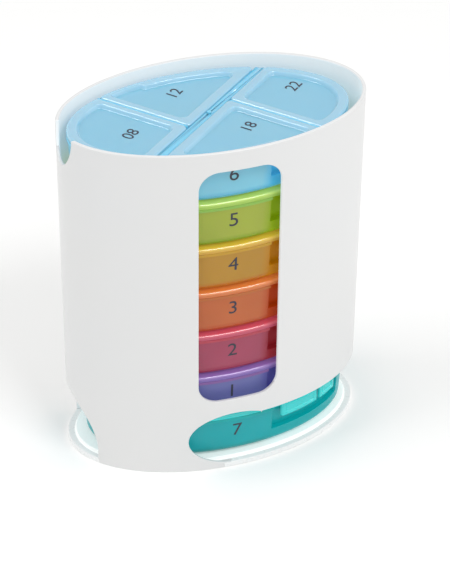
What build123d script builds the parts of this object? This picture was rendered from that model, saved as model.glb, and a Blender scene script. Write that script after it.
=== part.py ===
from build123d import *
import os
from math import cos, radians, sin

# Weekly pill tower: an oval sleeve on a base plate, filled with seven stacked trays
# Every tray has four compartments, a fixed hinge bar across its middle and four flip lids
# X runs along the oval, the window looks towards -Y, and the origin is the middle of the footprint

# Driving dimensions of the sleeve, in millimetres
housing_length = 106.0
housing_width = 61.6
housing_wall = 1.3
rim_above_lids = 3.4

# Ovals: an end, a shoulder and a side arc, which meet where the outline has made these turns
# The end's radius is given as a share of the radius that an ellipse has there
oval_end_share = 1.08
oval_end_turn = 39.5
oval_side_turn = 69.0

# Window in the front wall
window_width = 28.3
window_bottom = 30.1
window_head = 7.4
window_corner = 7.0

# Low openings: a continuous rim is left below them, and the bottom tray leaves through the +X end
rim_height = 2.1
exit_clearance = 1.2
exit_start = 8.8
exit_corner = 6.0
thumb_centre_x = -0.9
thumb_length = 33.4
thumb_rise = 1.8
push_arch_width = 29.0
push_arch_rise = 2.9
push_arch_spring = 6.0

# Finger notch in the upper rim at the -X end
notch_width = 14.4
notch_depth = 12.2
notch_offset = -2.2

# Ledge inside the rim that the base plate is pushed up against
ledge_height = 0.6
ledge_reach = 1.0

# Base plate
platform_inset = 2.8
platform_top = 3.0
base_flange_height = 1.1
base_clearance = 0.15
base_skin = 1.2
base_rib = 1.2
base_rib_pitch = 24.0
base_rib_count = 3
lug_length = 4.0
lug_height = 0.5
lug_reach = 0.45
lug_clearance = 0.1

# Trays, from the bottom of the stack to the top
days = ("saturday", "sunday", "monday", "tuesday", "wednesday", "thursday", "friday")
tray_end_clearance = 3.4
tray_side_clearance = 2.0
tray_height = 15.6
tray_wall = 1.2
tray_floor = 1.2
tray_flange_height = 1.9
tray_flange_reach = 0.4
stack_gap = 0.3
bottom_tray_shift = 1.0
upper_tray_shift = -1.2

# Dividing walls: one along the slanting middle line and one on each side of it
spine_angle = 42.0
spine_wall = 2.4
rib_wall = 1.2
rib_offset = 10.7

# Finger scoops in the tray wall, under the lid tabs
scoop_start = -23.5
scoop_end = 7.5
scoop_floor = 5.6
scoop_depth = 2.0

# Lids and the hinge bar between them
lid_thickness = 2.0
bar_width = 2.4
bar_height = 1.4
hinge_gap = 0.3
seam_gap = 0.5
panel_depth = 0.8
panel_rim = 3.2
panel_spine_rim = 3.0
panel_seam_rim = 4.6
tab_thickness = 1.0
tab_drop = 5.2
side_tab_start = -9.9
side_tab_end = 4.4
end_tab_start = -19.8
end_tab_end = -11.5

# Sizes that follow from the ones above
tray_length = housing_length - 2 * (housing_wall + tray_end_clearance)
tray_width = housing_width - 2 * (housing_wall + tray_side_clearance)
lid_top = tray_height + lid_thickness
tray_pitch = lid_top + stack_gap
first_tray_bottom = platform_top + stack_gap
housing_height = platform_top + len(days) * tray_pitch + rim_above_lids
window_top = housing_height - window_head
exit_top = first_tray_bottom + lid_top + exit_clearance
thumb_top = exit_top + thumb_rise
push_arch_top = exit_top + push_arch_rise
flange_bottom = rim_height - ledge_height - base_flange_height
reach = housing_length


def oval_radii(length, width):
    """The radii of an oval's end, shoulder and side arcs, so that they reach its length and width."""
    end = oval_end_share * (width / 2) ** 2 / (length / 2)
    end_x = cos(radians(oval_end_turn))
    end_y = sin(radians(oval_end_turn))
    side_x = cos(radians(oval_side_turn))
    side_y = sin(radians(oval_side_turn))
    across = length / 2 - end * (1 - end_x)
    up = width / 2 - end * end_y
    share = (end_x - side_x) * (1 - side_y) - side_x * (side_y - end_y)
    shoulder = (across * (1 - side_y) - up * side_x) / share
    side = (up * (end_x - side_x) - across * (side_y - end_y)) / share
    return end, shoulder, side


def oval(length, width, inset=0.0, turn=0.0, centre=(0, 0), mode=Mode.ADD):
    """An oval of tangent arcs, moved in from its outline by an inset, in the sketch that is open."""
    end, shoulder, side = (radius - inset for radius in oval_radii(length, width))
    first_x = length / 2 - inset - end + end * cos(radians(oval_end_turn))
    first_y = -end * sin(radians(oval_end_turn))
    start = Vector(first_x, first_y).rotate(Axis.Z, turn) + Vector(*centre)
    heading = Vector(0, 1).rotate(Axis.Z, turn - oval_end_turn)
    shoulder_turn = oval_side_turn - oval_end_turn
    radii = (end, shoulder, side, shoulder)
    turns = (2 * oval_end_turn, shoulder_turn, 180 - 2 * oval_side_turn, shoulder_turn)
    with BuildLine(mode=Mode.PRIVATE) as outline:
        for radius, arc_turn in zip(2 * radii, 2 * turns):
            arc = JernArc(start, heading, radius, arc_turn)
            start = arc @ 1
            heading = arc % 1
    return make_face(outline.edges(), mode=mode)


def housing_oval(inset=0.0, mode=Mode.ADD):
    """The housing's outline, moved in by an inset."""
    return oval(housing_length, housing_width, inset, mode=mode)


def tray_oval(inset=0.0, mode=Mode.ADD):
    """The tray's outline, drawn in the slanting frame of its middle wall."""
    return oval(tray_length, tray_width, inset, -spine_angle, mode=mode)


def strip(start, end, near, mode=Mode.ADD):
    """A strip from start to end along the middle wall, on its +Y side and from near outwards."""
    with Locations((start, near)):
        return Rectangle(end - start, reach, align=(Align.MIN, Align.MIN), mode=mode)


def lug_places(inset, height):
    """Places in the middle of the four shoulder arcs, turned so that their local X points outwards."""
    end, shoulder, _ = oval_radii(housing_length, housing_width)
    outward = (oval_end_turn + oval_side_turn) / 2
    middle_x = housing_length / 2 - end + (end - shoulder) * cos(radians(oval_end_turn))
    middle_y = (end - shoulder) * sin(radians(oval_end_turn))
    x = middle_x + (shoulder - inset) * cos(radians(outward))
    y = middle_y + (shoulder - inset) * sin(radians(outward))
    corners = ((x, y, outward), (-x, y, 180 - outward), (-x, -y, 180 + outward), (x, -y, -outward))
    return [Location((px, py, height), (0, 0, turned)) for px, py, turned in corners]


# Housing: the moulded white sleeve with its window and its low openings
with BuildPart() as housing:
    with BuildSketch():
        housing_oval()
        housing_oval(housing_wall, Mode.SUBTRACT)
    extrude(amount=housing_height)

    with BuildSketch(Plane.XY.offset(rim_height - ledge_height)):
        housing_oval(housing_wall / 2)
        housing_oval(housing_wall + ledge_reach, Mode.SUBTRACT)
    extrude(amount=ledge_height)

    with BuildSketch(Plane.XZ):
        with Locations((0, (window_bottom + window_top) / 2)):
            RectangleRounded(window_width, window_top - window_bottom, window_corner)
    extrude(amount=reach, mode=Mode.SUBTRACT)

    with BuildSketch(Plane.XZ):
        with Locations((exit_start, rim_height)):
            Rectangle(reach, exit_top - rim_height, align=(Align.MIN, Align.MIN))
        fillet(vertices().group_by(Axis.X)[0], exit_corner)
    extrude(amount=reach, both=True, mode=Mode.SUBTRACT)

    with BuildSketch(Plane.XZ):
        oval(thumb_length, thumb_top - rim_height, centre=(thumb_centre_x, (rim_height + thumb_top) / 2))
        with Locations((thumb_centre_x, rim_height)):
            Rectangle(reach, exit_corner, align=(Align.MIN, Align.MIN))
        with Locations((exit_start, rim_height)):
            Rectangle(reach, exit_top - rim_height, align=(Align.MIN, Align.MIN))
    extrude(amount=reach, mode=Mode.SUBTRACT)

    with BuildSketch(Plane.YZ):
        oval(2 * (push_arch_top - push_arch_spring), push_arch_width, turn=90, centre=(0, push_arch_spring))
        with Locations((0, push_arch_spring)):
            Rectangle(reach, reach, align=(Align.CENTER, Align.MAX), mode=Mode.SUBTRACT)
        with Locations((0, rim_height)):
            Rectangle(push_arch_width, push_arch_spring - rim_height, align=(Align.CENTER, Align.MIN))
    extrude(amount=-reach, mode=Mode.SUBTRACT)

    with BuildSketch(Plane.YZ):
        oval(2 * notch_depth, notch_width, turn=90, centre=(notch_offset, housing_height))
    extrude(amount=-reach, mode=Mode.SUBTRACT)

    lug_middle = flange_bottom + base_flange_height / 2
    with Locations(lug_places(housing_wall, lug_middle)):
        Box(
            2 * (lug_reach + lug_clearance),
            lug_length + 2 * lug_clearance,
            lug_height + 2 * lug_clearance,
            mode=Mode.SUBTRACT,
        )
housing.part.label = "housing"

# Base plate: a flange under the ledge, with a raised platform that the lowest tray slides on
with BuildPart() as base_plate:
    with BuildSketch(Plane.XY.offset(flange_bottom)):
        housing_oval(housing_wall + base_clearance)
    extrude(amount=base_flange_height)

    with BuildSketch(Plane.XY.offset(flange_bottom)):
        housing_oval(platform_inset)
    extrude(amount=platform_top - flange_bottom)

    with BuildSketch(Plane.XY.offset(flange_bottom)):
        housing_oval(platform_inset + base_skin)
        with GridLocations(base_rib_pitch, 0, base_rib_count, 1):
            Rectangle(base_rib, housing_width, mode=Mode.SUBTRACT)
        Rectangle(housing_length, base_rib, mode=Mode.SUBTRACT)
    extrude(amount=platform_top - flange_bottom - base_skin, mode=Mode.SUBTRACT)

    with Locations(lug_places(housing_wall + base_clearance, lug_middle)):
        Box(2 * lug_reach, lug_length, lug_height)
base_plate.part.label = "base_plate"


def build_tray(plane):
    """A tray on a plane whose X runs along its middle wall."""
    pocket_inset = tray_flange_reach + tray_wall
    with BuildPart() as tray:
        with BuildSketch(plane):
            tray_oval(tray_flange_reach)
        extrude(amount=tray_height)
        with BuildSketch(plane.offset(tray_height - tray_flange_height)):
            tray_oval()
        extrude(amount=tray_flange_height)

        for turn in (0, 180):
            half = plane.rotated((0, 0, turn))
            with BuildSketch(half.offset(scoop_floor)):
                strip(scoop_start, scoop_end, 0)
                tray_oval(scoop_depth + tray_flange_reach, mode=Mode.SUBTRACT)
            extrude(amount=tray_height, mode=Mode.SUBTRACT)

            for start, end in ((-reach, -rib_offset - rib_wall / 2), (-rib_offset + rib_wall / 2, reach)):
                with BuildSketch(half.offset(tray_floor)):
                    with BuildSketch(mode=Mode.PRIVATE) as scoop_back:
                        strip(scoop_start - tray_wall, scoop_end + tray_wall, 0)
                        tray_oval(pocket_inset + scoop_depth, mode=Mode.SUBTRACT)
                    strip(start, end, spine_wall / 2)
                    tray_oval(pocket_inset, mode=Mode.INTERSECT)
                    add(scoop_back.sketch, mode=Mode.SUBTRACT)
                extrude(amount=tray_height, mode=Mode.SUBTRACT)
    return tray.part


def build_bar(plane):
    """The fixed bar along the middle wall that the four lids hinge on."""
    with BuildPart() as bar:
        with BuildSketch(plane.offset(tray_height)):
            Rectangle(reach, bar_width)
            tray_oval(mode=Mode.INTERSECT)
        extrude(amount=bar_height)
    return bar.part


def build_lid(half, start, end, tab_start, tab_end):
    """A lid with a sunk panel and a finger tab, between start and end along the hinge bar."""
    hinge_side = bar_width / 2 + hinge_gap
    panel_start = start + panel_seam_rim
    panel_end = end - panel_seam_rim
    with BuildPart() as lid:
        with BuildSketch(half.offset(tray_height)):
            strip(start, end, hinge_side)
            tray_oval(mode=Mode.INTERSECT)
        extrude(amount=lid_thickness)

        with BuildSketch(half.offset(lid_top - panel_depth)):
            strip(panel_start, panel_end, hinge_side + panel_spine_rim)
            tray_oval(panel_rim, mode=Mode.INTERSECT)
        extrude(amount=panel_depth, mode=Mode.SUBTRACT)

        with BuildSketch(half.offset(tray_height - tab_drop)):
            strip(tab_start, tab_end, 0)
            tray_oval(mode=Mode.INTERSECT)
            tray_oval(tab_thickness, mode=Mode.SUBTRACT)
        extrude(amount=tab_drop + lid_thickness / 2)
    return lid.part


pieces = [housing.part, base_plate.part]

# Seven trays with their hinge bars and lids
for level, day in enumerate(days):
    shift = upper_tray_shift if level else bottom_tray_shift
    along = (cos(radians(spine_angle)), sin(radians(spine_angle)), 0)
    floor = Plane(origin=(shift, 0, first_tray_bottom + level * tray_pitch), x_dir=along, z_dir=(0, 0, 1))

    tray = build_tray(floor)
    tray.label = f"{day}_tray"
    pieces.append(tray)

    bar = build_bar(floor)
    bar.label = f"{day}_hinge_bar"
    pieces.append(bar)

    seam = seam_gap / 2
    for turn, end_dose, side_dose in ((0, "morning", "noon"), (180, "bedtime", "evening")):
        half = floor.rotated((0, 0, turn))
        end_lid = build_lid(half, -reach, -rib_offset - seam, end_tab_start, end_tab_end)
        end_lid.label = f"{day}_{end_dose}_lid"
        side_lid = build_lid(half, -rib_offset + seam, reach, side_tab_start, side_tab_end)
        side_lid.label = f"{day}_{side_dose}_lid"
        pieces.append(end_lid)
        pieces.append(side_lid)

os.makedirs("parts", exist_ok=True)
for piece in pieces:
    export_step(piece, f"parts/{piece.label}.step")
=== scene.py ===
from math import cos, pi, radians, sin, tan

import bpy
from mathutils import Matrix, Vector


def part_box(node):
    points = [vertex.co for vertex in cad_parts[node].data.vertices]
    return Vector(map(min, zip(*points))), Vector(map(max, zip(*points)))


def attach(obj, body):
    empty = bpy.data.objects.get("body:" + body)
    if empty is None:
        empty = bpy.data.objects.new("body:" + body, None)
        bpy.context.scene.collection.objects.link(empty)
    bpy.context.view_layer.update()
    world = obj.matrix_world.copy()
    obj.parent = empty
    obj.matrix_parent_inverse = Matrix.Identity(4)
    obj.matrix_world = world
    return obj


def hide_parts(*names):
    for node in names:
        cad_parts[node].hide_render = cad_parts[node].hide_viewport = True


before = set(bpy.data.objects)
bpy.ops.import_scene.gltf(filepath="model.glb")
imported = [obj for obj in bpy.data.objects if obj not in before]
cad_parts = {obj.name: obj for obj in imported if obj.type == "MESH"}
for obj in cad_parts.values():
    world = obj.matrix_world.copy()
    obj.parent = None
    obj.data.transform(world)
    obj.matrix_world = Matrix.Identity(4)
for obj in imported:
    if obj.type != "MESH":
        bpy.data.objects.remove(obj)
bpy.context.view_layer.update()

# Camera: a long lens, above the tower and to the left of its window.
# Its place is worked out from the real oval of the sleeve and the photograph's outline.
MM = 0.001
CAMERA_TURN = radians(-18.533)
CAMERA_RISE = radians(35.894)
CAMERA_ROLL = radians(0.490)
CAMERA_DISTANCE = 776.42 * MM
CAMERA_SIDE_STEP = 4.598 * MM
CAMERA_DROP = -5.694 * MM
CAMERA_NEAR = 10 * MM
FOCAL_PIXELS = 2238.3
FRAME_HEIGHT_PIXELS = 563
SENSOR_WIDTH = 36.0


def pointing(turn, rise):
    """The direction at a turn from the front and a rise above the level."""
    return Vector((sin(turn) * cos(rise), -cos(turn) * cos(rise), sin(rise)))


housing_low, housing_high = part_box("housing")
look_at = Vector((0, 0, housing_high.z / 2))
to_camera = pointing(CAMERA_TURN, CAMERA_RISE)
level_right = Vector((cos(CAMERA_TURN), sin(CAMERA_TURN), 0))
level_up = to_camera.cross(level_right)
right = level_right * cos(CAMERA_ROLL) + level_up * sin(CAMERA_ROLL)
up = level_up * cos(CAMERA_ROLL) - level_right * sin(CAMERA_ROLL)
bpy.ops.object.camera_add()
camera = bpy.context.object
camera.name = "camera"
place = look_at + to_camera * CAMERA_DISTANCE + right * CAMERA_SIDE_STEP + up * CAMERA_DROP
camera.matrix_world = Matrix.Translation(place) @ Matrix((right, up, to_camera)).transposed().to_4x4()
camera.data.sensor_width = SENSOR_WIDTH
camera.data.lens = FOCAL_PIXELS / FRAME_HEIGHT_PIXELS * SENSOR_WIDTH
camera.data.clip_start = CAMERA_NEAR
bpy.context.scene.camera = camera

# Table and studio: a matt white table top, lit by two soft boxes, a side screen and a pale room.
# The table is laminate, a little uneven in gloss, and isn't part of the tower.
TABLE_SIZE = 6.0
TABLE_GAP = 0.02 * MM
TABLE_WHITE = "fbfbfa"
# The laminate's grain is about 0.2 mm, too fine to show, so it is drawn at 0.9 mm.
TABLE_GRAIN = 0.9 * MM
LIGHT_AIM = 60 * MM
ROOM_WHITE = "ffffff"
ROOM_LIGHT = 0.70


def srgb(code):
    """An sRGB hex colour as the linear colour that a shader takes."""
    steps = [int(code[i:i + 2], 16) / 255 for i in (0, 2, 4)]
    return tuple(c / 12.92 if c <= 0.04045 else ((c + 0.055) / 1.055) ** 2.4 for c in steps) + (1.0,)


def node(tree, kind, settings):
    """Adds a node. A setting is a property, a socket's value, or the output that a socket is linked to."""
    added = tree.nodes.new(kind)
    for name, value in settings.items():
        if isinstance(value, bpy.types.NodeSocket):
            tree.links.new(value, added.inputs[name])
        elif isinstance(name, int) or name in added.inputs:
            added.inputs[name].default_value = value
        else:
            setattr(added, name, value)
    return added


def new_material(name):
    """A material and its tree, with no nodes yet."""
    material = bpy.data.materials.new(name)
    material.use_nodes = True
    material.node_tree.nodes.clear()
    return material, material.node_tree


def table_laminate():
    """Matt white laminate: even, with a faint fine grain."""
    material, tree = new_material("table_laminate")
    spot = node(tree, "ShaderNodeTexCoord", {}).outputs["Object"]
    grain = node(tree, "ShaderNodeTexNoise", {"Vector": spot, "Scale": 1 / TABLE_GRAIN, "Detail": 2.0})
    rough = node(tree, "ShaderNodeMapRange", {"Value": grain.outputs["Fac"], "To Min": 0.55, "To Max": 0.65})
    body = node(tree, "ShaderNodeBsdfPrincipled", {
        "Base Color": srgb(TABLE_WHITE), "Roughness": rough.outputs["Result"],
    })
    node(tree, "ShaderNodeOutputMaterial", {"Surface": body.outputs["BSDF"]})
    return material


def soft_box(name, turn, rise, far, wide, high, power):
    """An oblong soft light that faces the tower, placed by its turn, its rise and its distance."""
    away = pointing(radians(turn), radians(rise))
    bpy.ops.object.light_add(type="AREA", location=Vector((0, 0, LIGHT_AIM)) + away * far)
    lamp = bpy.context.object
    lamp.name = name
    lamp.data.shape = "RECTANGLE"
    lamp.data.size = wide
    lamp.data.size_y = high
    lamp.data.energy = power
    lamp.rotation_euler = away.to_track_quat("Z", "Y").to_euler()


bpy.ops.object.select_all(action="DESELECT")
bpy.ops.mesh.primitive_plane_add(size=TABLE_SIZE, location=(0, 0, housing_low.z - TABLE_GAP))
table = bpy.context.object
table.name = "table"
table.data.materials.append(table_laminate())

soft_box("front_box", turn=24, rise=54, far=1.4, wide=0.6, high=0.36, power=6.0)
soft_box("left_box", turn=-95, rise=58, far=1.3, wide=0.5, high=0.36, power=4.0)
soft_box("right_screen", turn=70, rise=25, far=1.4, wide=1.0, high=1.0, power=1.4)

world = bpy.data.worlds.new("studio")
world.use_nodes = True
world.node_tree.nodes["Background"].inputs["Color"].default_value = srgb(ROOM_WHITE)
world.node_tree.nodes["Background"].inputs["Strength"].default_value = ROOM_LIGHT
bpy.context.scene.world = world
bpy.context.scene.view_settings.view_transform = "Standard"

# Sleeve: one injection moulding in glossy white ABS, a plain oval tube with a thin wall.
# The mould's cores leave its window, exit, push arch and finger notch, with softly broken edges.
SLEEVE_WALL = 1.3 * MM
# The steps are the sides that an oval is drawn with.
SLEEVE_STEPS = 284
SLEEVE_EDGE = 0.35 * MM
SLEEVE_WHITE = "dfdfde"
SLEEVE_SHADE = "dddedf"
SLEEVE_ROUGH = 0.30
INNER_ROUGH = 0.34
# The inner wall's glow is painted light that lifts the shade on it.
INNER_GLOW = 0.26
INNER_LIGHT = "e4f0f4"
# The low ring is a slightly darker white with a glow: painted light that evens out the shade along it.
RING_WHITE = "dbdcdc"
RING_SHADE = "d9dada"
RING_ROUGH = 0.28
RING_GLOW = 0.18
RING_LIGHT = "f4f8f6"
RING_ERROR = 0.05 * MM
ABS_WAVE = 40 * MM
# Orange peel on a polished moulding is under 1 mm, too fine to show, so it is drawn at 1.6 mm.
ORANGE_PEEL = 1.6 * MM
PEEL_DEEP = 0.02 * MM
WINDOW_HALF = 14.15 * MM
WINDOW_LOW = 30.1 * MM
WINDOW_HIGH = 124.3 * MM
WINDOW_CORNER = 7.0 * MM
RIM_HIGH = 2.1 * MM
EXIT_HIGH = 22.1 * MM
EXIT_START = 8.8 * MM
EXIT_CORNER = 6.0 * MM
THUMB_MIDDLE = -0.9 * MM
THUMB_HALF = 16.7 * MM
THUMB_HIGH = 23.9 * MM
ARCH_HALF = 14.5 * MM
ARCH_SPRING = 6.0 * MM
ARCH_HIGH = 25.0 * MM
NOTCH_HALF = 6.87 * MM
NOTCH_DEEP = 12.5 * MM
NOTCH_MIDDLE = -1.98 * MM
NOTCH_RISE = 0.31 * MM
NOTCH_STEPS = 96
HOLE_STEPS = 128
LEDGE_HIGH = 0.6 * MM
LEDGE_REACH = 1.0 * MM
# A core starts this far outside the tower, and passes this far through a face that it opens.
CORE_START = 5 * MM
CORE_PAST = 1 * MM
WELD_REACH = 0.004 * MM
SHARP_TURN = radians(35)
# A face this near to the true curve is wall, and shades as the curve does up to the second turn.
WALL_TURN = radians(5)
WALL_EDGE_TURN = radians(33)


def only(piece):
    """Leaves one piece selected, because an operator acts on all that is selected."""
    bpy.ops.object.select_all(action="DESELECT")
    piece.select_set(True)
    bpy.context.view_layer.objects.active = piece


def open_all(piece):
    """Opens a mesh for an edit, with all of it selected."""
    only(piece)
    bpy.ops.object.mode_set(mode="EDIT")
    bpy.ops.mesh.select_all(action="SELECT")


def open_picked(piece, kind, test):
    """Opens a mesh for an edit, with those of its vertices, edges or polygons selected that pass a test."""
    only(piece)
    bpy.context.tool_settings.mesh_select_mode = [kind == each for each in ("vertices", "edges", "polygons")]
    bpy.ops.object.mode_set(mode="EDIT")
    bpy.ops.mesh.select_all(action="DESELECT")
    bpy.ops.object.mode_set(mode="OBJECT")
    for element in getattr(piece.data, kind):
        element.select = test(element)
    bpy.ops.object.mode_set(mode="EDIT")


def close():
    """Ends an edit."""
    bpy.ops.object.mode_set(mode="OBJECT")


def use_modifier(piece, kind, **settings):
    """Adds a modifier with its settings and applies it."""
    only(piece)
    step = piece.modifiers.new(kind.lower(), kind)
    for name, value in settings.items():
        setattr(step, name, value)
    bpy.ops.object.modifier_apply(modifier=step.name)


def cut(piece, *cores):
    """Takes the shape of each core out of a piece, as a mould's core leaves a hollow."""
    for core in cores:
        use_modifier(piece, "BOOLEAN", operation="DIFFERENCE", solver="EXACT", object=core)
        bpy.data.objects.remove(core)


def join_on(piece, addition):
    """Makes another shape one body with a piece."""
    use_modifier(piece, "BOOLEAN", operation="UNION", solver="EXACT", object=addition)
    bpy.data.objects.remove(addition)


def apply_place(piece):
    """Puts a piece's place, turn and size into its mesh, so that its object sits at the origin."""
    only(piece)
    bpy.ops.object.transform_apply(location=True, rotation=True, scale=True)


def oval_sheet(half_length, half_width, height, steps):
    """A flat oval face at a height."""
    bpy.ops.object.select_all(action="DESELECT")
    bpy.ops.mesh.primitive_circle_add(vertices=steps, radius=1.0, fill_type="NGON", location=(0, 0, height))
    sheet = bpy.context.object
    sheet.scale = (half_length, half_width, 1.0)
    apply_place(sheet)
    return sheet


def box_sheet(low, high, height):
    """A flat rectangular face between two corners at a height."""
    middle = ((low[0] + high[0]) / 2, (low[1] + high[1]) / 2, height)
    bpy.ops.object.select_all(action="DESELECT")
    bpy.ops.mesh.primitive_plane_add(size=1.0, location=middle)
    sheet = bpy.context.object
    sheet.scale = (high[0] - low[0], high[1] - low[1], 1.0)
    apply_place(sheet)
    return sheet


def thicken(sheet, rise):
    """Raises a flat face into a closed block of the given height."""
    open_all(sheet)
    bpy.ops.mesh.extrude_region_move(TRANSFORM_OT_translate={"value": (0, 0, rise)})
    bpy.ops.mesh.select_all(action="SELECT")
    bpy.ops.mesh.normals_make_consistent(inside=False)
    close()
    return sheet


def round_corners(sheet, radius, segments, test=lambda corner: True):
    """Rounds the corners of a flat face that pass a test."""
    open_picked(sheet, "vertices", test)
    bpy.ops.mesh.bevel(offset=radius, segments=segments, affect="VERTICES")
    close()


def split_hollow_faces(piece):
    """Splits the faces whose outline turns inwards, so that none spreads over a hole that a core has left."""
    open_all(piece)
    bpy.ops.mesh.vert_connect_concave()
    close()


def soften(piece, radius, segments, flat=True):
    """Breaks every sharp edge by a small radius and shades the piece smooth, with flat faces kept flat."""
    use_modifier(piece, "WELD", merge_threshold=WELD_REACH)
    use_modifier(
        piece, "BEVEL", width=radius, segments=segments, limit_method="ANGLE", angle_limit=SHARP_TURN,
        use_clamp_overlap=False, miter_outer="MITER_ARC",
    )
    split_hollow_faces(piece)
    bpy.ops.object.shade_smooth_by_angle(angle=SHARP_TURN)
    if flat:
        use_modifier(piece, "WEIGHTED_NORMAL", weight=80, keep_sharp=True)


def outward(spot, half_length, half_width):
    """The direction straight out of an oval wall at a spot."""
    return Vector((spot.x / half_length ** 2, spot.y / half_width ** 2, 0)).normalized()


def shade_as_oval(piece, half_length, half_width):
    """Gives an oval wall the shading of its true curve, which its narrow flat faces only come near to."""
    mesh = piece.data
    wall = {}
    for face in mesh.polygons:
        for index in face.vertices:
            out = outward(mesh.vertices[index].co, half_length, half_width)
            match = face.normal.dot(out)
            if abs(match) > cos(WALL_TURN):
                wall[index] = out if match > 0 else -out
    normals = [Vector((0, 0, 0))] * len(mesh.loops)
    for face in mesh.polygons:
        for corner, index in zip(face.loop_indices, face.vertices):
            if index in wall and face.normal.dot(wall[index]) > cos(WALL_EDGE_TURN):
                normals[corner] = wall[index]
    mesh.normals_split_custom_set(normals)


def tip_to_front(piece):
    """Turns a block drawn on the table upright, so that its Y becomes Z and it points to the front."""
    piece.rotation_euler = (pi / 2, 0, 0)
    apply_place(piece)


def tip_to_side(piece):
    """Turns a block drawn on the table upright, so that its X becomes Y and its Y becomes Z."""
    piece.matrix_world = Matrix(((0, 0, 1, 0), (1, 0, 0, 0), (0, 1, 0, 0), (0, 0, 0, 1)))
    apply_place(piece)


def white_abs(name, white, shade, roughness, glow=0.0, light=INNER_LIGHT):
    """Glossy injection-moulded ABS: even white with the faint waviness of a thin moulded wall.

    The glow is painted light: it stands for the light that comes through the thin wall from outside, and
    lifts faces that lie in shade.
    """
    material, tree = new_material(name)
    spot = node(tree, "ShaderNodeTexCoord", {}).outputs["Object"]
    cloud = node(tree, "ShaderNodeTexNoise", {"Vector": spot, "Scale": 1 / ABS_WAVE, "Detail": 1.0})
    tone = node(tree, "ShaderNodeMix", {
        "data_type": "RGBA", "Factor": cloud.outputs["Fac"], 6: srgb(white), 7: srgb(shade),
    })
    peel = node(tree, "ShaderNodeTexNoise", {"Vector": spot, "Scale": 1 / ORANGE_PEEL, "Detail": 2.0})
    rough = node(tree, "ShaderNodeMapRange", {
        "Value": peel.outputs["Fac"], "To Min": roughness - 0.03, "To Max": roughness + 0.03,
    })
    bump = node(tree, "ShaderNodeBump", {
        "Height": peel.outputs["Fac"], "Strength": 0.06, "Distance": PEEL_DEEP,
    })
    body = node(tree, "ShaderNodeBsdfPrincipled", {
        "Base Color": tone.outputs[2], "Roughness": rough.outputs["Result"], "Normal": bump.outputs["Normal"],
        "IOR": 1.53, "Emission Color": srgb(light), "Emission Strength": glow,
    })
    node(tree, "ShaderNodeOutputMaterial", {"Surface": body.outputs["BSDF"]})
    return material


half_length = housing_high.x
half_width = housing_high.y
tall = housing_high.z
sleeve = thicken(oval_sheet(half_length, half_width, 0, SLEEVE_STEPS), tall)
sleeve.name = "sleeve"
bore = oval_sheet(half_length - SLEEVE_WALL, half_width - SLEEVE_WALL, -CORE_PAST, SLEEVE_STEPS)
cut(sleeve, thicken(bore, tall + 2 * CORE_PAST))
half_wall = SLEEVE_WALL / 2
ledge = oval_sheet(half_length - half_wall, half_width - half_wall, RIM_HIGH - LEDGE_HIGH, SLEEVE_STEPS)
ledge = thicken(ledge, LEDGE_HIGH)
inner_reach = SLEEVE_WALL + LEDGE_REACH
ledge_bore = oval_sheet(half_length - inner_reach, half_width - inner_reach, 0, SLEEVE_STEPS)
cut(ledge, thicken(ledge_bore, 2 * CORE_START))
join_on(sleeve, ledge)

window = box_sheet((-WINDOW_HALF, WINDOW_LOW), (WINDOW_HALF, WINDOW_HIGH), 0)
round_corners(window, WINDOW_CORNER, 16)
tip_to_front(thicken(window, half_width + CORE_START))

exit_slot = box_sheet((EXIT_START, RIM_HIGH), (half_length + CORE_START, EXIT_HIGH), -half_width - CORE_START)
round_corners(exit_slot, EXIT_CORNER, 12, lambda corner: corner.co.x < EXIT_START + EXIT_CORNER)
tip_to_front(thicken(exit_slot, 2 * half_width + 2 * CORE_START))

thumb_tall = (THUMB_HIGH - RIM_HIGH) / 2
thumb_oval = oval_sheet(THUMB_HALF, thumb_tall, 0, HOLE_STEPS)
thumb_oval.location = (THUMB_MIDDLE, RIM_HIGH + thumb_tall, 0)
apply_place(thumb_oval)
tip_to_front(thicken(thumb_oval, half_width + CORE_START))
low_slot = box_sheet((THUMB_MIDDLE, RIM_HIGH), (half_length, RIM_HIGH + EXIT_CORNER + CORE_PAST), 0)
tip_to_front(thicken(low_slot, half_width + CORE_START))
high_slot = box_sheet((EXIT_START, RIM_HIGH + EXIT_CORNER), (half_length, EXIT_HIGH), 0)
tip_to_front(thicken(high_slot, half_width + CORE_START))

arch_start = -half_length - CORE_START
arch = oval_sheet(ARCH_HALF, ARCH_HIGH - ARCH_SPRING, arch_start, HOLE_STEPS)
arch.location.y = ARCH_SPRING
apply_place(arch)
tip_to_side(thicken(arch, half_length))
arch_foot = box_sheet((-ARCH_HALF, RIM_HIGH), (ARCH_HALF, ARCH_SPRING), arch_start)
tip_to_side(thicken(arch_foot, half_length))
arch_trim = box_sheet((-half_width, -half_length), (half_width, RIM_HIGH), arch_start - CORE_PAST)
tip_to_side(thicken(arch_trim, half_length + CORE_START))
cut(arch, arch_trim)

notch = oval_sheet(NOTCH_HALF, NOTCH_DEEP, -half_length - CORE_START, NOTCH_STEPS)
notch.location = (NOTCH_MIDDLE, tall + NOTCH_RISE, 0)
apply_place(notch)
tip_to_side(thicken(notch, half_length))
cut(sleeve, window, exit_slot, thumb_oval, low_slot, high_slot, arch, arch_foot, notch)
soften(sleeve, SLEEVE_EDGE, 3, flat=False)
shade_as_oval(sleeve, half_length, half_width)
for finish in (
    white_abs("white_abs_gloss", SLEEVE_WHITE, SLEEVE_SHADE, SLEEVE_ROUGH),
    white_abs("white_abs_inner_wall_painted_glow", SLEEVE_WHITE, SLEEVE_SHADE, INNER_ROUGH, INNER_GLOW),
    white_abs("white_abs_low_ring_painted_glow", RING_WHITE, RING_SHADE, RING_ROUGH, RING_GLOW, RING_LIGHT),
):
    sleeve.data.materials.append(finish)
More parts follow.
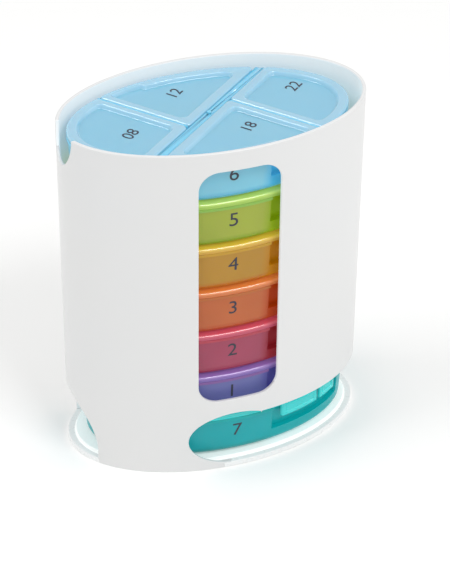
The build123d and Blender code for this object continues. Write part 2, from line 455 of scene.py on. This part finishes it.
# The inner wall is made of the faces that look inwards and stand upright, and gets a glow of painted light on
# the same white.
# The low ring is made of the faces that lie under the exit, and gets the darker white with a glow of painted
# light.
for face in sleeve.data.polygons:
    faces_in = face.normal.dot(outward(face.center, half_length, half_width)) < 0.3
    face.material_index = 1 if faces_in and abs(face.normal.z) < 0.5 else 0
    if all(sleeve.data.vertices[index].co.z < RIM_HIGH + RING_ERROR for index in face.vertices):
        face.material_index = 2
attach(sleeve, "tower")
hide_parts("housing")

# Base plate: one moulding in polished white plastic, pushed up into the sleeve until it meets the ledge.
# A shallow step runs round the raised platform that the lowest tray stands on, and ribs stiffen it below.
PLATFORM_INSET = 2.8 * MM
PLATFORM_SKIN = 1.2 * MM
FLANGE_THICK = 1.1 * MM
BASE_PLAY = 0.15 * MM
BASE_RIB = 1.2 * MM
BASE_RIB_PITCH = 24.0 * MM
BASE_RIB_CORE = 6 * MM
BASE_EDGE = 0.2 * MM
BASE_WHITE = "f4f6f5"
BASE_SHADE = "eff2f1"
BASE_ROUGH = 0.26
# The base glows: painted light that lifts the shade on it under the sleeve.
BASE_GLOW = 0.24
BASE_LIGHT = "f4faf7"

base_low, base_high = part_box("base_plate")
base_width = half_width - SLEEVE_WALL - BASE_PLAY
base_plate = thicken(oval_sheet(base_high.x, base_width, base_low.z, SLEEVE_STEPS), FLANGE_THICK)
base_plate.name = "base"
platform = oval_sheet(half_length - PLATFORM_INSET, half_width - PLATFORM_INSET, base_low.z, SLEEVE_STEPS)
join_on(base_plate, thicken(platform, base_high.z - base_low.z))
soften(base_plate, BASE_EDGE, 3)
hollow_inset = PLATFORM_INSET + PLATFORM_SKIN
hollow_start = base_low.z - CORE_PAST
hollow = oval_sheet(half_length - hollow_inset, half_width - hollow_inset, hollow_start, SLEEVE_STEPS)
hollow = thicken(hollow, base_high.z - PLATFORM_SKIN - base_low.z + CORE_PAST)
rib_start = base_low.z - 2 * CORE_PAST
for step in (-1, 0, 1):
    start = step * BASE_RIB_PITCH - BASE_RIB / 2
    end = step * BASE_RIB_PITCH + BASE_RIB / 2
    rib = box_sheet((start, -half_width), (end, half_width), rib_start)
    cut(hollow, thicken(rib, BASE_RIB_CORE))
long_rib = box_sheet((-half_length, -BASE_RIB / 2), (half_length, BASE_RIB / 2), rib_start)
cut(hollow, thicken(long_rib, BASE_RIB_CORE))
cut(base_plate, hollow)
base_plate.data.materials.append(
    white_abs("white_abs_polished_painted_glow", BASE_WHITE, BASE_SHADE, BASE_ROUGH, BASE_GLOW, BASE_LIGHT)
)
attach(base_plate, "tower")
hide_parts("base_plate")

# Trays: seven alike, thin-walled mouldings in frosted tinted polypropylene, stacked on each other.
# A flange stiffens the rim, scoops under the lid tabs let a finger in, and three walls part the doses.
DAYS = ("saturday", "sunday", "monday", "tuesday", "wednesday", "thursday", "friday")
TRAY_WALL = 1.2 * MM
TRAY_FLOOR = 1.2 * MM
FLANGE_HIGH = 1.1 * MM
FLANGE_REACH = 0.4 * MM
TRAY_FOOT = 2.4 * MM
TRAY_DRAFT = 0.8 * MM
TRAY_EDGE = 0.22 * MM
TRAY_STEPS = 224
SPINE_TURN = radians(42.0)
SPINE_WALL = 2.4 * MM
RIB_WALL = 1.2 * MM
RIB_PLACE = 10.7 * MM
SCOOP_START = -23.5 * MM
SCOOP_END = 7.5 * MM
SCOOP_FLOOR = 5.6 * MM
SCOOP_DEEP = 2.0 * MM
POCKET_CORNER = 2.4 * MM
CORNER_TURN = radians(25)
CORNER_SPARE = 1.15
POCKET_FILLET = 0.8 * MM
CREST_HIGH = 1.6 * MM
CREST_ROOT = 1 * MM
CREST_WALL = 0.44 * MM
CREST_INSET = 0.15 * MM
CREST_START = 1.8 * MM
FAR = 80 * MM
LEVEL_ERROR = 0.01 * MM
POINT_ERROR = 0.001 * MM
# The glows are painted light in the tray's tint: strongest in the scoops and inside the compartments, weaker
# on the walls.
SCOOP_GLOW = 0.22
WALL_GLOW = 0.10
INSIDE_GLOW = 0.26
TINT_CLOUD = 14 * MM
# The frost of the mould's face is about 0.1 mm, too fine to show, so it is drawn at 0.9 mm.
FROST_GRAIN = 0.9 * MM
LIGHT_REACH = 2.5 * MM
# The tone changes at these shares of the tray's height: painted shade makes the foot deeper and the wall
# duller, and painted light makes the band at the rim lighter.
PAINTED_LIGHT_AND_SHADE_LEVELS = ((0.10, "foot"), (0.22, "wall"), (0.90, "wall"), (0.94, "band"))
# The scoop's deeper tone is painted shade, with a stronger glow of painted light; both fade out from inside
# its ends to outside them, and below the flange.
SCOOP_TONE_IN = 1 * MM
SCOOP_TONE_OUT = 2.5 * MM
SCOOP_TONE_FULL = 1.3 * MM
SCOOP_TONE_END = 1.0 * MM
# Each tint's foot, wall and band colours carry painted shade and light by height; the scoop tone is painted
# shade, and the lid's panel is painted deeper than its rim.
TINTS = {
    "saturday": ("teal_tint", dict(
        wall="129ea4", band="0ea4a4", rim="1ebcb8", panel="26c4c4", foot="1a8c8c", scoop_shade="02969a")),
    "sunday": ("violet_tint", dict(
        wall="6468a0", band="7e5a96", rim="8464a8", panel="6a559a", foot="4c4a86", scoop_shade="4a4692")),
    "monday": ("rose_tint", dict(
        wall="9a445b", band="ac4454", rim="c04e60", panel="a8405a", foot="8e2444", scoop_shade="8c1c26")),
    "tuesday": ("orange_tint", dict(
        wall="b36137", band="b06636", rim="cc783a", panel="b8622e", foot="a84418", scoop_shade="a63804")),
    "wednesday": ("amber_tint", dict(
        wall="aa802f", band="b89030", rim="ccac3a", panel="b88c2c", foot="b06410", scoop_shade="b07404")),
    "thursday": ("green_tint", dict(
        wall="97a33e", band="86b050", rim="a8c458", panel="8cb048", foot="78941c", scoop_shade="84a008")),
    "friday": ("sky_tint", dict(
        wall="7bbbcf", band="70c2e4", rim="92c0d6", panel="74b6d0", foot="58a8c8", scoop_shade="4aacd4")),
}

along = Vector((cos(SPINE_TURN), sin(SPINE_TURN), 0))
across = Vector((-sin(SPINE_TURN), cos(SPINE_TURN), 0))
tray_low, tray_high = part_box("friday_tray")
tray_tall = tray_high.z - tray_low.z
tray_length = (tray_high.x - tray_low.x) / 2
tray_width = (tray_high.y - tray_low.y) / 2


def trim(sheet, spot, keep):
    """Cuts a flat face along the line through a spot, and keeps the side that the arrow points to."""
    open_all(sheet)
    bpy.ops.mesh.bisect(plane_co=spot, plane_no=keep, clear_inner=True)
    close()


def half_sheet(inset, near, start, end, height):
    """The part of the tray's oval beyond the middle wall, between two lines across it."""
    sheet = oval_sheet(tray_length - inset, tray_width - inset, height, TRAY_STEPS)
    trim(sheet, across * near, across)
    trim(sheet, along * start, along)
    trim(sheet, along * end, -along)
    return sheet


def round_sharp(sheet, radius, segments=6):
    """Rounds a flat face's outline where it turns sharply, and clears the points too near to a corner."""
    ring = [sheet.data.vertices[i].co.copy() for i in sheet.data.polygons[0].vertices]
    corners = []
    for step, spot in enumerate(ring):
        turn = (spot - ring[step - 1]).angle(ring[(step + 1) % len(ring)] - spot)
        if turn > CORNER_TURN:
            corners.append((spot, radius * tan(turn / 2)))
    for corner, length in corners:
        near = CORNER_SPARE * length
        open_picked(sheet, "vertices", lambda point: POINT_ERROR < (point.co - corner).length < near)
        bpy.ops.mesh.dissolve_verts()
        close()
        round_corners(sheet, length, segments, lambda point: (point.co - corner).length < POINT_ERROR)


def round_edges(piece, height, radius, segments):
    """Rounds the edges that lie at one height."""
    spots = piece.data.vertices
    open_picked(
        piece, "edges", lambda edge: all(abs(spots[end].co.z - height) < LEVEL_ERROR for end in edge.vertices)
    )
    bpy.ops.mesh.bevel(offset=radius, segments=segments, affect="EDGES")
    close()


def turned(piece, turn):
    """Turns a piece's mesh about the tray's middle."""
    piece.data.transform(Matrix.Rotation(turn, 4, "Z"))
    return piece


def pocket(start, end):
    """The core that leaves one compartment, with rounded corners and a rounded floor."""
    inset = FLANGE_REACH + TRAY_WALL
    sheet = half_sheet(inset, SPINE_WALL / 2, start, end, TRAY_FLOOR)
    round_sharp(sheet, POCKET_CORNER)
    core = thicken(sheet, tray_tall)
    round_edges(core, TRAY_FLOOR, POCKET_FILLET, 4)
    back_inset = inset + SCOOP_DEEP
    back = half_sheet(-CORE_START, 0, SCOOP_START - TRAY_WALL, SCOOP_END + TRAY_WALL, 0)
    back = thicken(back, 2 * tray_tall)
    inner = oval_sheet(tray_length - back_inset, tray_width - back_inset, -CORE_PAST, TRAY_STEPS)
    cut(back, thicken(inner, 3 * tray_tall))
    cut(core, back)
    return core


def scoop():
    """The core that leaves the finger scoop in the outer wall."""
    core = thicken(half_sheet(-CORE_START, 0, SCOOP_START, SCOOP_END, SCOOP_FLOOR), tray_tall)
    inset = FLANGE_REACH + SCOOP_DEEP
    inner = oval_sheet(tray_length - inset, tray_width - inset, -CORE_PAST, TRAY_STEPS)
    cut(core, thicken(inner, 3 * tray_tall))
    return core


def frosted_tint(name, tint, low, high, middle, glow):
    """Frosted tinted polypropylene with painted shade: the thin wall is painted duller than the solid rim,
    the foot and scoops deeper.

    The glow is painted light, standing for the light that comes through the tray from the lids and the
    window.
    """
    material, tree = new_material(name)
    spot = node(tree, "ShaderNodeTexCoord", {}).outputs["Object"]
    height = node(tree, "ShaderNodeSeparateXYZ", {"Vector": spot}).outputs["Z"]
    # Painted shade and light by height: a deeper foot, a duller wall and a lighter band at the rim.
    share = node(tree, "ShaderNodeMapRange", {"Value": height, "From Min": low, "From Max": high})
    tone = node(tree, "ShaderNodeValToRGB", {"Fac": share.outputs["Result"]})
    stops = tone.color_ramp.elements
    stops[0].color = srgb(tint["foot"])
    stops[1].color = srgb(tint["band"])
    for level, part in PAINTED_LIGHT_AND_SHADE_LEVELS:
        stops.new(level).color = srgb(tint[part])
    offset = node(tree, "ShaderNodeVectorMath", {"operation": "SUBTRACT", 0: spot, 1: middle})
    from_middle = offset.outputs["Vector"]
    ahead = node(tree, "ShaderNodeVectorMath", {"operation": "DOT_PRODUCT", 0: from_middle, 1: along})
    aside = node(tree, "ShaderNodeVectorMath", {"operation": "DOT_PRODUCT", 0: from_middle, 1: across})
    side = node(tree, "ShaderNodeMath", {"operation": "SIGN", 0: aside.outputs["Value"]})
    reach = node(tree, "ShaderNodeMath", {
        "operation": "MULTIPLY", 0: ahead.outputs["Value"], 1: side.outputs["Value"],
    }).outputs["Value"]
    # The scoop mask adds painted shade, a deeper tone, and painted light, a stronger glow.
    scoop_light_and_shade = 1.0
    for source, full, none in (
        (reach, SCOOP_END - SCOOP_TONE_IN, SCOOP_END + SCOOP_TONE_OUT),
        (reach, SCOOP_START + SCOOP_TONE_IN, SCOOP_START - SCOOP_TONE_OUT),
        (height, high - SCOOP_TONE_FULL, high - SCOOP_TONE_END),
    ):
        mask = node(tree, "ShaderNodeMapRange", {
            "Value": source, "From Min": full, "From Max": none, "To Min": 1.0, "To Max": 0.0,
        })
        scoop_light_and_shade = node(tree, "ShaderNodeMath", {
            "operation": "MULTIPLY", 0: mask.outputs["Result"], 1: scoop_light_and_shade,
        }).outputs["Value"]
    toned = node(tree, "ShaderNodeMix", {
        "data_type": "RGBA", "Factor": scoop_light_and_shade, 6: tone.outputs["Color"], 7: srgb(tint["scoop_shade"]),
    })
    lit = node(tree, "ShaderNodeMapRange", {
        "Value": scoop_light_and_shade, "To Min": glow, "To Max": max(glow, SCOOP_GLOW),
    })
    cloud = node(tree, "ShaderNodeTexNoise", {"Vector": spot, "Scale": 1 / TINT_CLOUD, "Detail": 1.0})
    shade = node(tree, "ShaderNodeMapRange", {"Value": cloud.outputs["Fac"], "To Min": 0.90, "To Max": 1.08})
    shaded = node(tree, "ShaderNodeVectorMath", {
        "operation": "SCALE", 0: toned.outputs[2], "Scale": shade.outputs["Result"],
    }).outputs["Vector"]
    frost = node(tree, "ShaderNodeTexNoise", {"Vector": spot, "Scale": 1 / FROST_GRAIN, "Detail": 2.0})
    rough = node(tree, "ShaderNodeMapRange", {"Value": frost.outputs["Fac"], "To Min": 0.29, "To Max": 0.33})
    body = node(tree, "ShaderNodeBsdfPrincipled", {
        "Base Color": shaded, "Roughness": rough.outputs["Result"], "IOR": 1.49, "Specular IOR Level": 0.3,
        "Subsurface Weight": 0.5, "Subsurface Radius": srgb(tint["band"])[:3],
        "Subsurface Scale": LIGHT_REACH, "Coat Weight": 0.1, "Coat Roughness": 0.08,
        "Emission Color": shaded, "Emission Strength": lit.outputs["Result"],
    })
    node(tree, "ShaderNodeOutputMaterial", {"Surface": body.outputs["BSDF"]})
    return material


tray = thicken(oval_sheet(tray_length - FLANGE_REACH, tray_width - FLANGE_REACH, 0, TRAY_STEPS), tray_tall)
round_edges(tray, 0, TRAY_FOOT, 6)
join_on(tray, thicken(oval_sheet(tray_length, tray_width, tray_tall - FLANGE_HIGH, TRAY_STEPS), FLANGE_HIGH))
for turn in (0, pi):
    cut(
        tray,
        turned(scoop(), turn),
        turned(pocket(-FAR, -RIB_PLACE - RIB_WALL / 2), turn),
        turned(pocket(-RIB_PLACE + RIB_WALL / 2, FAR), turn),
    )
crest_line = (CREST_INSET, CREST_START, -RIB_PLACE - CREST_WALL / 2, -RIB_PLACE + CREST_WALL / 2)
for turn in (0, pi):
    crest = thicken(half_sheet(*crest_line, tray_tall - CREST_ROOT), CREST_ROOT + CREST_HIGH)
    join_on(tray, turned(crest, turn))
soften(tray, TRAY_EDGE, 2, flat=False)


def draft_at(height):
    """How much narrower the tray is at a height, because its walls lean in towards the foot."""
    return TRAY_DRAFT * max(0.0, 1 - height / (tray_tall - FLANGE_HIGH))


for vertex in tray.data.vertices:
    vertex.co.x *= 1 - draft_at(vertex.co.z) / tray_length
    vertex.co.y *= 1 - draft_at(vertex.co.z) / tray_width
shade_as_oval(tray, tray_length, tray_width)
# The faces inside the outer wall, between floor and rim, belong to the compartments, and take the copy with
# the stronger glow of painted light that lifts their shade.
inner_length = tray_length - FLANGE_REACH - 0.9 * TRAY_WALL
inner_width = tray_width - FLANGE_REACH - 0.9 * TRAY_WALL
for face in tray.data.polygons:
    inner = (face.center.x / inner_length) ** 2 + (face.center.y / inner_width) ** 2 < 1
    in_pocket = TRAY_FLOOR - 0.1 * MM < face.center.z < tray_tall - 0.3 * MM
    face.material_index = 1 if inner and in_pocket else 0


def copy_to(piece, name, place, turn=0.0):
    """A copy with its own mesh, turned about the tray's middle and lifted to its level."""
    twin = piece.copy()
    twin.data = piece.data.copy()
    twin.name = name
    bpy.context.scene.collection.objects.link(twin)
    twin.data.transform(Matrix.Translation(place) @ Matrix.Rotation(turn, 4, "Z"))
    return twin


places = {}
for day in DAYS:
    slot, tint = TINTS[day]
    low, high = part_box(f"{day}_tray")
    places[day] = Vector(((low.x + high.x) / 2, (low.y + high.y) / 2, low.z))
    moulding = copy_to(tray, f"{day}_tray_moulding", places[day])
    for part, glow in (("frosted", WALL_GLOW), ("inside", INSIDE_GLOW)):
        finish = frosted_tint(f"{part}_{slot}", tint, low.z, high.z, places[day], glow)
        moulding.data.materials.append(finish)
    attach(moulding, day)
    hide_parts(f"{day}_tray")
bpy.data.objects.remove(tray)

# Hinge bars: a low flat strip along the middle wall, moulded with the thin webs that the lids turn on.
# It lies deeper than the lids and reads as a darker line, with one small gate mark at its middle.
BAR_WIDE = 2.4 * MM
BAR_HIGH = 1.4 * MM
BAR_EDGE = 0.25 * MM
WEB_REACH = 0.27 * MM
WEB_HIGH = 1.25 * MM
GATE_WIDE = 0.75 * MM
GATE_DEEP = 0.25 * MM
GATE_STEPS = 24
# Lids under another tray glow much more than the top lids: painted light that lifts the shade of the tray
# above.
OPEN_GLOW = 0.05
COVERED_GLOW = 0.42
SLOPE_GLOW = 0.16
LID_CLOUD = 22 * MM
LID_SWAY = 0.2 * MM


def clear_tint(name, thin, thick, low, high, glow):
    """Clear-tinted polypropylene: glossy and slightly cloudy, with painted shade that makes it deeper in tone
    where it is thin.

    Faces that look up get a strong coat and the sides a weak one, a painted reflection by facing. The glow is
    painted light in the plastic, stronger on faces that look up, and slopes glow more to lift their shade.
    """
    material, tree = new_material(name)
    where = node(tree, "ShaderNodeTexCoord", {})
    spot = where.outputs["Object"]
    height = node(tree, "ShaderNodeSeparateXYZ", {"Vector": spot}).outputs["Z"]
    cloud = node(tree, "ShaderNodeTexNoise", {"Vector": spot, "Scale": 1 / LID_CLOUD, "Detail": 1.0})
    sway = node(tree, "ShaderNodeMapRange", {
        "Value": cloud.outputs["Fac"], "To Min": -LID_SWAY, "To Max": LID_SWAY,
    })
    level = node(tree, "ShaderNodeMath", {"operation": "ADD", 0: height, 1: sway.outputs["Result"]})
    depth = node(tree, "ShaderNodeMapRange", {
        "Value": level.outputs["Value"], "From Min": low, "From Max": high,
    })
    tone = node(tree, "ShaderNodeMix", {
        "data_type": "RGBA", "Factor": depth.outputs["Result"], 6: srgb(thin), 7: srgb(thick),
    })
    frost = node(tree, "ShaderNodeTexNoise", {"Vector": spot, "Scale": 1 / FROST_GRAIN, "Detail": 2.0})
    rough = node(tree, "ShaderNodeMapRange", {"Value": frost.outputs["Fac"], "To Min": 0.23, "To Max": 0.27})
    # Coat by facing paints reflection on the faces that look up and keeps it off the sides.
    upward = node(tree, "ShaderNodeSeparateXYZ", {"Vector": where.outputs["Normal"]}).outputs["Z"]
    painted_reflection_coat = node(tree, "ShaderNodeMapRange", {
        "Value": upward, "From Min": 0.05, "From Max": 0.45, "To Min": 0.12, "To Max": 0.9,
    })
    # Painted light: faces that look up glow more, and slopes glow more to lift their shade.
    level_lit = node(tree, "ShaderNodeMapRange", {
        "Value": upward, "From Min": 0.5, "From Max": 0.95, "To Min": glow * 0.4, "To Max": glow,
    })
    off_slope = node(tree, "ShaderNodeMath", {"operation": "SUBTRACT", 0: upward, 1: 0.5})
    from_slope = node(tree, "ShaderNodeMath", {"operation": "ABSOLUTE", 0: off_slope.outputs["Value"]})
    slope_lit = node(tree, "ShaderNodeMapRange", {
        "Value": from_slope.outputs["Value"], "From Min": 0.15, "From Max": 0.4,
        "To Min": SLOPE_GLOW, "To Max": 0.0,
    })
    lit = node(tree, "ShaderNodeMath", {
        "operation": "ADD", 0: level_lit.outputs["Result"], 1: slope_lit.outputs["Result"],
    })
    body = node(tree, "ShaderNodeBsdfPrincipled", {
        "Base Color": tone.outputs[2], "Roughness": rough.outputs["Result"], "IOR": 1.49,
        "Subsurface Weight": 0.5, "Subsurface Radius": srgb(thick)[:3], "Subsurface Scale": LIGHT_REACH,
        "Coat Weight": painted_reflection_coat.outputs["Result"], "Coat Roughness": 0.03, "Coat IOR": 1.9,
        "Emission Color": srgb(thick), "Emission Strength": lit.outputs["Value"],
    })
    node(tree, "ShaderNodeOutputMaterial", {"Surface": body.outputs["BSDF"]})
    return material


def strip_sheet(half_wide):
    """The part of the tray's oval that lies within a distance of the line of the middle wall."""
    sheet = oval_sheet(tray_length, tray_width, tray_tall, TRAY_STEPS)
    trim(sheet, across * -half_wide, across)
    trim(sheet, across * half_wide, -across)
    return sheet


bar = thicken(strip_sheet(BAR_WIDE / 2), BAR_HIGH)
join_on(bar, thicken(strip_sheet(BAR_WIDE / 2 + WEB_REACH), WEB_HIGH))
soften(bar, BAR_EDGE, 2)
gate = oval_sheet(GATE_WIDE, GATE_WIDE, tray_tall + BAR_HIGH - GATE_DEEP, GATE_STEPS)
cut(bar, thicken(gate, CORE_PAST))
split_hollow_faces(bar)
bpy.ops.object.shade_smooth_by_angle(angle=SHARP_TURN)
for day in DAYS:
    slot, tint = TINTS[day]
    bottom = places[day].z + tray_tall
    strip = copy_to(bar, f"{day}_bar_strip", places[day])
    strip.data.materials.append(
        clear_tint(f"bar_{slot}", tint["panel"], tint["band"], bottom, bottom + BAR_HIGH, OPEN_GLOW)
    )
    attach(strip, day)
    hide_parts(f"{day}_hinge_bar")
bpy.data.objects.remove(bar)

# Lids: four on each tray, moulded in the same tint, with a rounded edge and a sunk panel.
# A tab hangs down over the scoop in the tray's wall, so that a finger can lift the lid.
LID_THICK = 2.0 * MM
HINGE_GAP = 0.3 * MM
SEAM_GAP = 0.5 * MM
LID_CORNER = 1.6 * MM
LID_ROUND = 0.9 * MM
LID_EDGE = 0.28 * MM
PANEL_DEEP = 1.4 * MM
PANEL_RIM = 3.3 * MM
PANEL_SPINE_RIM = 3.3 * MM
PANEL_SEAM_RIM = 2.6 * MM
PANEL_SLOPE = 0.8 * MM
PANEL_CORNER = 2.4 * MM
TAB_RIM = 1.9 * MM
TAB_ROOM = 0.5 * MM
TAB_CORNER = 1.2 * MM
TAB_THICK = 1.0 * MM
TAB_DROP = 5.2 * MM
TAB_BORDER = 1.4 * MM
TAB_TOP_BORDER = 0.4 * MM
TAB_SUNK = 0.25 * MM
SIDE_TAB = (-9.9 * MM, 4.4 * MM)
END_TAB = (-19.8 * MM, -11.5 * MM)
# The panel over a tab ends this far inside the lid's own panel.
PANEL_STEP = 0.05 * MM


def curved_plate(outer, thick, start, end, low, high):
    """An upright plate that follows the tray's oval between two lines across the middle wall."""
    plate = thicken(half_sheet(outer, 0, start, end, low), high - low)
    inset = outer + thick
    inner = oval_sheet(tray_length - inset, tray_width - inset, low - CORE_PAST, TRAY_STEPS)
    cut(plate, thicken(inner, high - low + 2 * CORE_PAST))
    return plate


def sunk_core(sheet, corner):
    """The core that leaves a sunk panel with sloping sides, as wide as the sheet at the top."""
    round_sharp(sheet, corner)
    core = thicken(sheet, CORE_PAST)
    open_picked(core, "polygons", lambda face: face.normal.z < -0.9)
    bpy.ops.mesh.inset(thickness=PANEL_SLOPE, depth=PANEL_DEEP)
    close()
    return core


def lid_blank(start, end, tab, panel_over_tab):
    """A lid between two lines across the middle wall, with its sunk panel and its tab."""
    near = BAR_WIDE / 2 + HINGE_GAP
    top = tray_tall + LID_THICK
    sheet = half_sheet(0, near, start, end, tray_tall)
    round_sharp(sheet, LID_CORNER)
    blank = thicken(sheet, LID_THICK)
    round_edges(blank, top, LID_ROUND, 4)
    panel_start = start + PANEL_SEAM_RIM
    panel_end = end - PANEL_SEAM_RIM
    panel = half_sheet(PANEL_RIM, near + PANEL_SPINE_RIM, panel_start, panel_end, top)
    cut(blank, sunk_core(panel, PANEL_CORNER))
    if panel_over_tab:
        tab_start = max(tab[0] + TAB_ROOM, panel_start + PANEL_STEP)
        tab_end = min(tab[1] - TAB_ROOM, panel_end - PANEL_STEP)
        over_tab = half_sheet(TAB_RIM, near + 2 * PANEL_SPINE_RIM, tab_start, tab_end, top)
        cut(blank, sunk_core(over_tab, TAB_CORNER))
    low = tray_tall - TAB_DROP
    flap = curved_plate(0, TAB_THICK, tab[0], tab[1], low, top - LID_ROUND)
    sunk = curved_plate(
        -CORE_PAST, CORE_PAST + TAB_SUNK, tab[0] + TAB_BORDER, tab[1] - TAB_BORDER, low + TAB_BORDER,
        tray_tall - TAB_TOP_BORDER,
    )
    cut(flap, sunk)
    join_on(blank, flap)
    soften(blank, LID_EDGE, 3)
    return blank


end_lid = lid_blank(-FAR, -RIB_PLACE - SEAM_GAP / 2, END_TAB, panel_over_tab=False)
side_lid = lid_blank(-RIB_PLACE + SEAM_GAP / 2, FAR, SIDE_TAB, panel_over_tab=True)
LIDS = (("morning", end_lid, 0), ("noon", side_lid, 0), ("evening", side_lid, pi), ("bedtime", end_lid, pi))
for day in DAYS:
    slot, tint = TINTS[day]
    top = places[day].z + tray_tall + LID_THICK
    # A covered lid's stronger glow is painted light in the shade of the tray above.
    glow = OPEN_GLOW if day == "friday" else COVERED_GLOW
    finish = clear_tint(f"lid_{slot}", tint["panel"], tint["rim"], top - PANEL_DEEP, top - LID_EDGE, glow)
    for dose, blank, turn in LIDS:
        lid = copy_to(blank, f"{day}_{dose}_flap", places[day], turn)
        lid.data.materials.append(finish)
        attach(lid, f"friday_{dose}" if day == "friday" else day)
        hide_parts(f"{day}_{dose}_lid")
bpy.data.objects.remove(end_lid)
bpy.data.objects.remove(side_lid)

# Numbers: pad-printed in dark ink, the day's on the front of each tray and the hour's on each lid.
# The ink is a thin matt layer that follows the surface that it is printed on.
INK_THICK = 0.10 * MM
INK = "2c2d3a"
INK_SHADE = "343646"
# The film is uneven at about 0.1 mm, too fine to show, so it is drawn at 0.6 mm.
INK_FILM = 0.6 * MM
DAY_TALL = 5.3 * MM
DAY_HEIGHT = 9.9 * MM
DAY_NUMBERS = {
    "sunday": "1", "monday": "2", "tuesday": "3", "wednesday": "4", "thursday": "5", "friday": "6",
    "saturday": "7",
}
HOUR_TALL = 4.2 * MM
HOURS = {"morning": "08", "noon": "12", "evening": "18", "bedtime": "22"}
# The middle of each hour on the top tray, in millimetres from the tower's middle.
HOUR_SPOTS = {
    "morning": (-29.2, -3.2), "noon": (-7.7, 17.4), "evening": (9.4, -10.2), "bedtime": (31.8, 9.4),
}


def printed(name, words, tall):
    """A number as a thin flat mesh, of a given height and centred on its own middle."""
    bpy.ops.object.select_all(action="DESELECT")
    bpy.ops.object.text_add(location=(0, 0, 0))
    mark = bpy.context.object
    mark.data.body = words
    mark.data.extrude = INK_THICK / 2
    mark.data.size = 10 * MM
    mark.data.resolution_u = 6
    bpy.ops.object.convert(target="MESH")
    mark = bpy.context.object
    mark.name = name
    spots = [vertex.co for vertex in mark.data.vertices]
    left, right = min(s.x for s in spots), max(s.x for s in spots)
    foot, head = min(s.y for s in spots), max(s.y for s in spots)
    grow = tall / (head - foot)
    middle = Matrix.Translation((-(left + right) / 2, -(foot + head) / 2, 0))
    mark.data.transform(Matrix.Diagonal((grow, grow, 1, 1)) @ middle)
    return mark


def pad_ink():
    """Pad-printing ink: near black, matt, with a faintly uneven film."""
    material, tree = new_material("pad_print_ink")
    spot = node(tree, "ShaderNodeTexCoord", {}).outputs["Object"]
    film = node(tree, "ShaderNodeTexNoise", {"Vector": spot, "Scale": 1 / INK_FILM, "Detail": 2.0})
    tone = node(tree, "ShaderNodeMix", {
        "data_type": "RGBA", "Factor": film.outputs["Fac"], 6: srgb(INK), 7: srgb(INK_SHADE),
    })
    body = node(tree, "ShaderNodeBsdfPrincipled", {"Base Color": tone.outputs[2], "Roughness": 0.55})
    node(tree, "ShaderNodeOutputMaterial", {"Surface": body.outputs["BSDF"]})
    return material


ink = pad_ink()
wall_length = tray_length - FLANGE_REACH
for day in DAYS:
    front = printed(f"{day}_number", DAY_NUMBERS[day], DAY_TALL)
    front.data.transform(Matrix.Translation((0, 0, DAY_HEIGHT)) @ Matrix.Rotation(pi / 2, 4, "X"))
    for vertex in front.data.vertices:
        wall_width = tray_width - FLANGE_REACH - draft_at(vertex.co.z)
        vertex.co.y -= wall_width * (1 - (vertex.co.x / wall_length) ** 2) ** 0.5
    front.data.transform(Matrix.Translation(places[day]))
    front.data.materials.append(ink)
    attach(front, day)
    for dose, hour in HOURS.items():
        mark = printed(f"{day}_{dose}_number", hour, HOUR_TALL)
        x, y = HOUR_SPOTS[dose]
        spot = Vector((x * MM, y * MM, 0)) - places["friday"]
        spot.z = tray_tall + LID_THICK - PANEL_DEEP
        mark.data.transform(Matrix.Translation(places[day] + spot) @ Matrix.Rotation(SPINE_TURN, 4, "Z"))
        mark.data.materials.append(ink)
        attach(mark, f"friday_{dose}" if day == "friday" else day)
